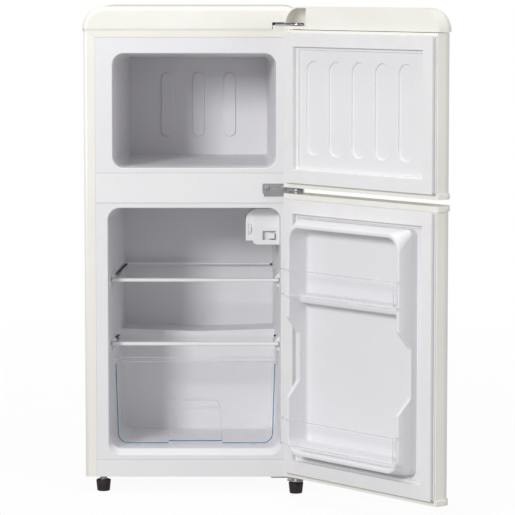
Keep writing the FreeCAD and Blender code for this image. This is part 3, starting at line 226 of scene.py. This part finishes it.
def chrome():
    s = Shader("chrome", srgb(224, 224, 226), 0.08, Metallic=1.0)
    return s.vary_roughness(s.noise(90), 0.05, 0.14)


def copper():
    s = Shader("copper", srgb(196, 120, 84), 0.32, Metallic=1.0)
    s.vary_colour(s.noise(60), srgb(200, 124, 88), srgb(160, 92, 66))
    return s.vary_roughness(s.noise(140), 0.25, 0.5)


def aluminium():
    s = Shader("aluminium", srgb(190, 191, 193), 0.35, Metallic=1.0)
    return s.vary_roughness(s.noise(200), 0.3, 0.5)


def black_enamel():
    s = Shader("black_enamel", srgb(24, 24, 25), 0.35, Coat_Weight=0.3, Coat_Roughness=0.2)
    s.vary_roughness(s.noise(90), 0.3, 0.5)
    return s.bump(s.noise(700, 2.0), 0.00006, 0.5)


def black_plastic():
    """Dark brown-black nylon of the feet and small fittings."""
    s = Shader("black_plastic", srgb(38, 29, 28), 0.5)
    s.vary_colour(s.noise(120), srgb(42, 32, 30), srgb(30, 23, 22))
    s.vary_roughness(s.noise(200), 0.42, 0.6)
    return s.bump(s.noise(1500, 2.0), 0.00005, 0.5)


def dark_rubber():
    s = Shader("dark_rubber", srgb(34, 32, 32), 0.75)
    return s.bump(s.noise(1200, 3.0), 0.00008, 0.6)


def nylon():
    s = Shader("nylon", srgb(226, 222, 208), 0.45, Subsurface_Weight=0.15, Subsurface_Scale=0.003)
    return s.bump(s.noise(900, 2.0), 0.00004, 0.4)


def foam():
    """Rigid insulating foam, cut and open-pored."""
    s = Shader("foam", srgb(224, 204, 150), 0.9)
    s.vary_colour(s.noise(90, 5.0), srgb(230, 210, 158), srgb(205, 184, 128))
    return s.bump(s.noise(700, 4.0), 0.0006, 0.8)


MAKERS = {
    "cream_enamel": cream_enamel, "cream_plastic": cream_plastic, "white_liner": white_liner,
    "white_trim": white_trim, "white_seal": seal_rubber, "foam": foam,
    "galvanised_steel": galvanised_steel, "zinc_steel": zinc_steel, "chrome": chrome,
    "black_enamel": black_enamel, "black_plastic": black_plastic, "dark_rubber": dark_rubber,
    "copper": copper, "aluminium": aluminium, "clear_plastic": clear_plastic,
    "clear_glass": clear_glass, "frosted_lens": frosted_lens, "nylon": nylon,
}
materials = {slot: make().material for slot, make in MAKERS.items()}
materials["teal_edge"] = teal_edge().material
# painted highlight for the clear rims, folds and recess outlines of the drawer and racks
materials["painted_highlight"] = painted_highlight().material


def dress(obj, material):
    obj.data.materials.clear()
    obj.data.materials.append(material)
    for polygon in obj.data.polygons:
        polygon.material_index = 0


def round_edges(obj, width):
    """Small rolled edges that catch the light, as pressed and moulded pieces have."""
    weld = obj.modifiers.new("weld", "WELD")
    weld.merge_threshold = 0.00001
    bevel = obj.modifiers.new("edges", "BEVEL")
    bevel.width = width
    bevel.segments = 2
    bevel.limit_method = "ANGLE"
    bevel.angle_limit = math.radians(50)
    bevel.harden_normals = True


EDGE_WIDTH = {
    "cabinet_shell": 0.3 * MM, "freezer_door_bottom_cap": 1.5 * MM,
    "fridge_door_top_cap": 1.5 * MM, "fridge_door_bottom_cap": 1.5 * MM,
    "freezer_door_gasket": 0.5 * MM, "fridge_door_gasket": 0.5 * MM, "middle_hinge_bracket": 0.4 * MM,
    "top_hinge_plate": 0.4 * MM, "bottom_hinge_bracket": 0.4 * MM, "glass_shelf": 0.4 * MM,
    "crisper_cover": 0.4 * MM, "upper_door_rack": 0.4 * MM, "lower_door_rack": 0.4 * MM,
    "left_foot_pad": 0.3 * MM, "right_foot_pad": 0.3 * MM,
}


# These pieces cast no shadow, because stacked clear walls came out far too dark with shadows on.
CLEAR_SLOTS = ("clear_plastic", "clear_glass")


def dress_the_frame():
    slots = {s["node"]: s["material_slot"] for s in frame["record"]["subparts"]}
    for name, obj in nodes.items():
        dress(obj, materials[slots[name]])
        if name in EDGE_WIDTH:
            round_edges(obj, EDGE_WIDTH[name])
        if slots[name] in CLEAR_SLOTS:
            obj.visible_shadow = obj.visible_diffuse = False


# ---------------------------------------------------------------- fine trim
def bead_mesh(name, points, radius, material, body, slot, sides=6, swell=1.0):
    """Thin round bead through the points, given in millimetres, that rides on a body.

    Its last end is swell times as thick as its first.
    """
    points = [Vector(p) * MM for p in points]
    mesh, make = bpy.data.meshes.new(name), bmesh.new()
    rings = []
    for i, point in enumerate(points):
        along = (points[min(i + 1, len(points) - 1)] - points[max(i - 1, 0)]).normalized()
        upright = abs(along.z) > 0.95
        side = (along.orthogonal() if upright else along.cross(Vector((0, 0, 1)))).normalized()
        over = side.cross(along).normalized()
        turns = [2 * math.pi * k / sides for k in range(sides)]
        thick = radius * MM * (1 + (swell - 1) * i / (len(points) - 1))
        rings.append([make.verts.new(point + thick * (side * math.cos(t) + over * math.sin(t)))
                      for t in turns])
    for first, second in zip(rings, rings[1:]):
        for k in range(sides):
            make.faces.new((first[k], first[(k + 1) % sides], second[(k + 1) % sides], second[k]))
    make.faces.new(rings[0][::-1])
    make.faces.new(rings[-1])
    bmesh.ops.recalc_face_normals(make, faces=make.faces)
    make.to_mesh(mesh)
    make.free()
    for polygon in mesh.polygons:
        polygon.use_smooth = True
    return place_piece(name, mesh, material, body)


def place_piece(name, mesh, material, body):
    """Puts the mesh in the scene as a piece that rides on the body."""
    obj = bpy.data.objects.new(name, mesh)
    bpy.context.scene.collection.objects.link(obj)
    obj.data.materials.append(materials[material])
    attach(obj, body)
    return obj


def corner(centre, radius, start, end, steps=8):
    """Points of an arc round the centre, angles in degrees from the first axis towards the second."""
    turns = [math.radians(start + (end - start) * i / steps) for i in range(steps + 1)]
    return [(centre[0] + radius * math.cos(t), centre[1] + radius * math.sin(t)) for t in turns]


FACE = -210.0             # plane that the doors close against, in millimetres like the rest of the trim
DRAWER_FRONT = FACE + 50.0
DRAWER_TOP, DRAWER_BOTTOM = 261.0, 88.5
DRAWER_CORNER_X = 133.0   # centre of the rounding at each lower corner
RECESS_TOP = 174.5
TEAL_TOP = 248.0
TEAL_RADIUS = 1.0
LINE_RADIUS = 0.5
RACK_HEIGHT = 50.0
RACK_FRONT = FACE + 46.0
RACK_STEP = FACE + 32.0   # where a rack starts to lap over the raised wall
RACK_NOSE = 9.0
RACK_LAP = (-161.4, 163.4)
RACK_Z = {"upper_rack": 404.0, "lower_rack": 115.0}
HINGE = (200.0, -242.0)
DOOR_OPEN = 130.0


def drawer_trim():
    """Teal bead round the drawer's front edge, and painted highlight lines along its rim, lip and recess."""
    y = DRAWER_FRONT - 0.1
    teal = {"radius": TEAL_RADIUS, "material": "teal_edge", "body": "drawer", "slot": "clear_plastic"}
    # painted highlight: pale beads on the rim, lip and recess outline stand in for light caught on those edges
    pale = {"material": "painted_highlight", "body": "drawer", "slot": "clear_plastic"}
    foot = corner((DRAWER_CORNER_X, DRAWER_BOTTOM + 20.9), 20.1, 0, -90)
    teal_path = [(157.4, TEAL_TOP), *foot, (54.0, DRAWER_BOTTOM + 0.8)]
    shoulder = corner((38.6, RECESS_TOP - 8.6), 8.6, 0, 90)
    recess_path = [(53.0, DRAWER_BOTTOM + 2), *shoulder, (0, RECESS_TOP)]
    for side, name in ((-1, "left"), (1, "right")):
        bead_mesh(f"drawer_teal_{name}", [(side * x, y, z) for x, z in teal_path], **teal)
        bead_mesh(f"drawer_recess_{name}", [(side * x, y, z) for x, z in recess_path], 0.55, **pale)
    recess_back = DRAWER_FRONT + 14
    bead_mesh("drawer_teal_middle", [(-53, recess_back, 91.5), (53, recess_back, 91.5)], **teal)
    for name, z, half in (("rim_top", DRAWER_TOP - 0.5, 159.5), ("rim_low", DRAWER_TOP - 9.5, 159.0)):
        bead_mesh(f"drawer_{name}", [(-half, y, z), (half, y, z)], LINE_RADIUS, **pale)
    lip_y = DRAWER_FRONT + 12
    bead_mesh("drawer_lip", [(-45, lip_y, 159.5), (45, lip_y, 159.5)], LINE_RADIUS, **pale)


def on_fridge_door(x, y, z):
    """Point of the closed door, turned with the door to where it stands at rest."""
    turn = math.radians(DOOR_OPEN)
    dx, dy = x - HINGE[0], y - HINGE[1]
    return (HINGE[0] + dx * math.cos(turn) - dy * math.sin(turn),
            HINGE[1] + dx * math.sin(turn) + dy * math.cos(turn), z)


def rack_trim():
    """Painted highlight beads along the rims, feet and front corners of the two door racks."""
    left, right = RACK_LAP
    nose_y = RACK_FRONT - 0.6 - RACK_NOSE
    outline = [(left, RACK_STEP), *corner((left + RACK_NOSE, nose_y), RACK_NOSE, 180, 90, 6),
               *corner((right - RACK_NOSE, nose_y), RACK_NOSE, 90, 0, 6), (right, RACK_STEP)]
    for body, low in RACK_Z.items():
        # painted highlight: pale beads stand in for the light caught on the clear racks' rims and corners
        pale = {"material": "painted_highlight", "body": body, "slot": "clear_plastic"}
        for name, z in (("rim", low + RACK_HEIGHT - 0.4), ("foot", low + 0.5)):
            bead_mesh(f"{body}_{name}", [on_fridge_door(x, y, z) for x, y in outline], 0.85, **pale)
        for name, x in (("left", left + 2.6), ("right", right - 2.6)):
            upright = [on_fridge_door(x, RACK_FRONT - 3.2, z) for z in (low + 1, low + RACK_HEIGHT - 1)]
            bead_mesh(f"{body}_corner_{name}", upright, 0.6, **pale)


def shelf_strips():
    """Dark strips along the sides of the glass, thicker towards the back corners."""
    front = FACE + 62.0
    for body, name, top, back, front_half, back_half in (
            ("middle_shelf", "shelf", 416.5, FACE + 345.0, 164.0, 151.2),
            ("drawer_cover", "cover", 289.5, FACE + 166.0, 163.8, 159.0)):
        # dark beads along the glass sides, thickening towards the back
        dark = {"material": "dark_rubber", "body": body, "slot": "clear_glass"}
        left = [(-front_half + 0.8, front, top + 0.1), (-back_half + 1.2, back, top + 0.4)]
        right = [(back_half - 1.6, back - 14, top + 0.4), (back_half - 1.2, back, top + 0.4)]
        bead_mesh(f"{name}_seal_left", left, 0.8, swell=3.0, **dark)
        bead_mesh(f"{name}_seal_right", right, 1.6, swell=1.5, **dark)


# ---------------------------------------------------------------- studio
FLOOR_RADIUS = 3.0
FLOOR_SIDES = 96
FLOOR_ALPHA = 0.06
WORLD_STRENGTH = 0.42
MIDDLE = Vector((0.1, -0.25, 0.5))
LIGHT_DISTANCE = 4.2


def aim(obj, target):
    obj.rotation_mode = "QUATERNION"
    obj.rotation_quaternion = (Vector(target) - obj.location).to_track_quat("-Z", "Y")


def area_light(name, place, target, size, power, colour=(1, 1, 1)):
    data = bpy.data.lights.new(name, "AREA")
    data.shape = "RECTANGLE"
    data.size, data.size_y = size
    data.energy = power
    data.color = colour
    light = bpy.data.objects.new(name, data)
    bpy.context.scene.collection.objects.link(light)
    light.location = place
    aim(light, target)


def studio():
    scene = bpy.context.scene
    scene.view_settings.view_transform = "Standard"
    world = bpy.data.worlds.new("studio")
    scene.world = world
    world.use_nodes = True
    tree = world.node_tree
    light = tree.nodes["Background"]
    light.inputs["Color"].default_value = (1.0, 1.0, 1.0, 1.0)
    light.inputs["Strength"].default_value = WORLD_STRENGTH
    seen = tree.nodes.new("ShaderNodeBackground")
    seen.inputs["Color"].default_value = (1.0, 1.0, 1.0, 1.0)
    seen.inputs["Strength"].default_value = 1.0
    path = tree.nodes.new("ShaderNodeLightPath")
    mix = tree.nodes.new("ShaderNodeMixShader")
    tree.links.new(path.outputs["Is Camera Ray"], mix.inputs["Fac"])
    tree.links.new(light.outputs["Background"], mix.inputs[1])
    tree.links.new(seen.outputs["Background"], mix.inputs[2])
    tree.links.new(mix.outputs["Shader"], tree.nodes["World Output"].inputs["Surface"])


def floor():
    """Pale round floor, part see-through so that it melts into the white backdrop at its rim."""
    mesh = bpy.data.meshes.new("floor")
    rim = [(FLOOR_RADIUS * math.cos(a), FLOOR_RADIUS * math.sin(a), 0)
           for a in (2 * math.pi * i / FLOOR_SIDES for i in range(FLOOR_SIDES))]
    mesh.from_pydata(rim, [], [tuple(range(FLOOR_SIDES))])
    obj = bpy.data.objects.new("floor", mesh)
    bpy.context.scene.collection.objects.link(obj)
    obj.location.z = -0.0005
    s = Shader("floor", srgb(250, 250, 250), 0.6)
    middle_out = s.add("ShaderNodeVectorMath", operation="LENGTH")
    s.link(s.coordinates, middle_out.inputs[0])
    s.link(s.ramp(middle_out.outputs["Value"], FLOOR_ALPHA, 0.0, 0.6, FLOOR_RADIUS), s.surface.inputs["Alpha"])
    s.bump(s.noise(40), 0.0005, 0.05)
    obj.data.materials.append(s.material)


def from_front(left, up):
    """Place of a light, in degrees to the left of straight in front and degrees up."""
    left, up = math.radians(left), math.radians(up)
    way = Vector((-math.sin(left) * math.cos(up), -math.cos(left) * math.cos(up), math.sin(up)))
    return MIDDLE + way * LIGHT_DISTANCE


def lights():
    area_light("key", from_front(30, 18), MIDDLE, (0.8, 0.8), 92)
    area_light("fill", from_front(-66, 20), MIDDLE, (1.6, 1.6), 39)
    area_light("top", from_front(10, 82), MIDDLE, (1.6, 1.6), 60)


def camera():
    """Long lens in front and a little above, tipped down at the middle of the fridge."""
    data = bpy.data.cameras.new("camera")
    data.sensor_width = 36.0
    data.lens = 196.9
    data.clip_end = 60.0
    cam = bpy.data.objects.new("camera", data)
    bpy.context.scene.collection.objects.link(cam)
    cam.location = (0.1414, -5.6935, 1.0013)
    cam.rotation_euler = (math.radians(90 - 5.5955), 0, math.radians(0.189))
    bpy.context.scene.camera = cam


dress_the_frame()
drawer_trim()
rack_trim()
shelf_strips()
studio()
floor()
lights()
camera()
